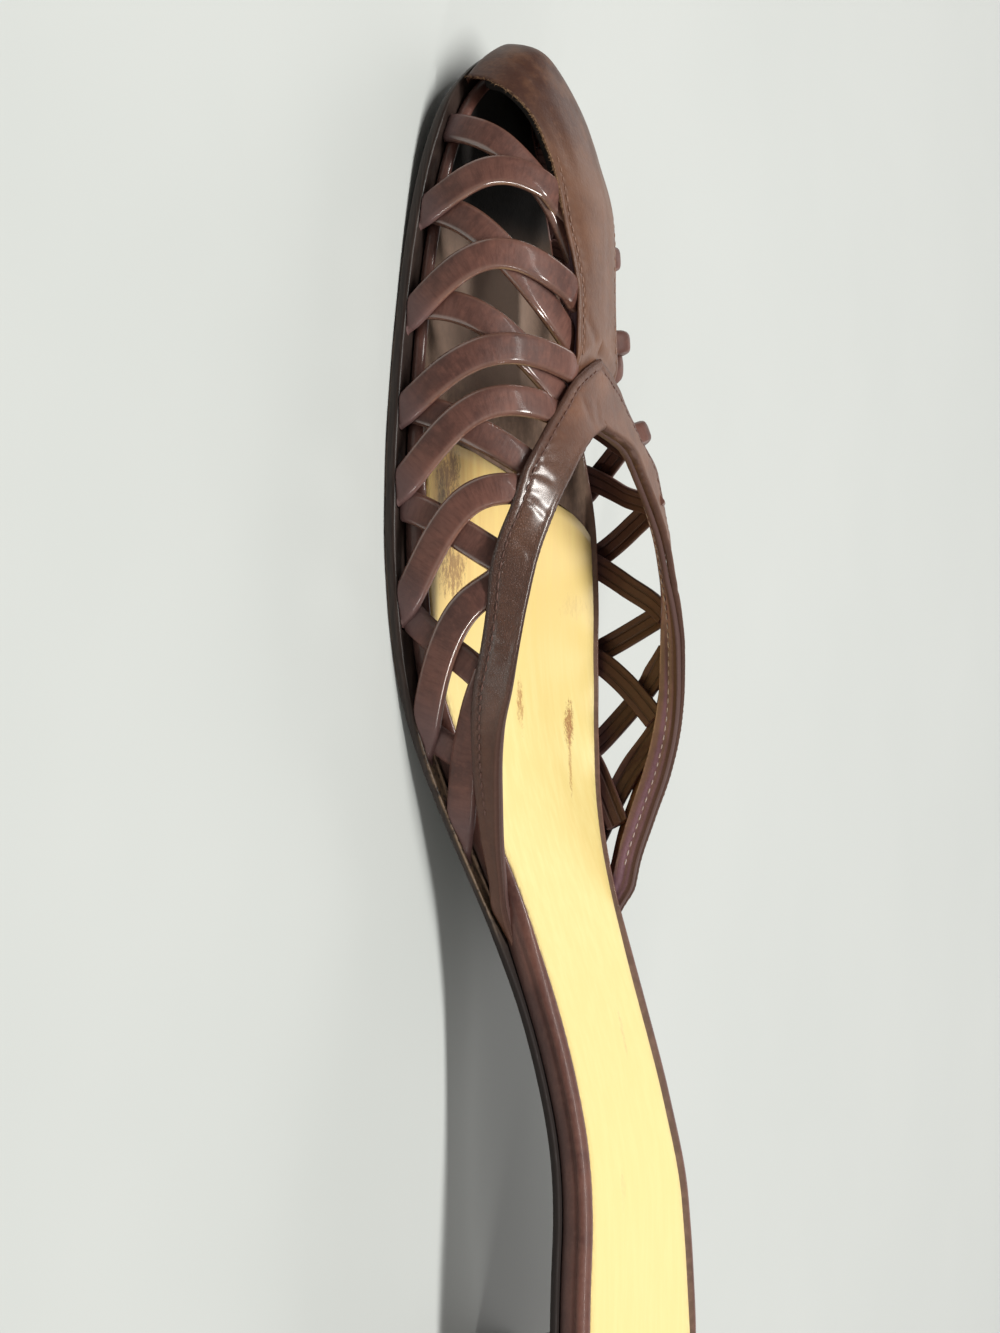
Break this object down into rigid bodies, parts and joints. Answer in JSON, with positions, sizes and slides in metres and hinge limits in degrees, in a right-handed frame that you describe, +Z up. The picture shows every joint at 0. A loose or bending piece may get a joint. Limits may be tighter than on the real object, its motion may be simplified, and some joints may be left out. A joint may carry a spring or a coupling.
{
  "type": "woven mule shoe",
  "caption": "Right backless slip-on shoe with a closed toe, open sides of crossed leather straps, collar bands meeting in a chevron, a pale sock on a thin sole and a low heel.",
  "frame": {"origin": "on the floor plane, at the flat of the outsole under the ball of the foot, 75 mm behind the toe tip", "axes": "+X towards the heel, -X towards the toe, -Y towards the inner side of the right foot, +Z up"},
  "size_m": [0.2583, 0.0804, 0.0276],
  "materials": {
    "outsole": "dark waxed sole leather",
    "footbed": "brown leather wrapped over board",
    "sock_lining": "pale yellow smooth leather",
    "upper": "glossy reddish brown leather straps",
    "toe_piece": "glossy reddish brown leather",
    "collar": "glossy reddish brown leather",
    "heel": "leather covered block",
    "heel_tip": "dark rubber top piece"
  },
  "bodies": {
    "root": {"outsole": "outsole", "footbed": "footbed", "sock_lining": "sock_lining", "upper": "upper", "toe_piece": "toe_piece", "collar": "collar", "heel": "heel", "heel_tip": "heel_tip"}
  },
  "joints": []
}
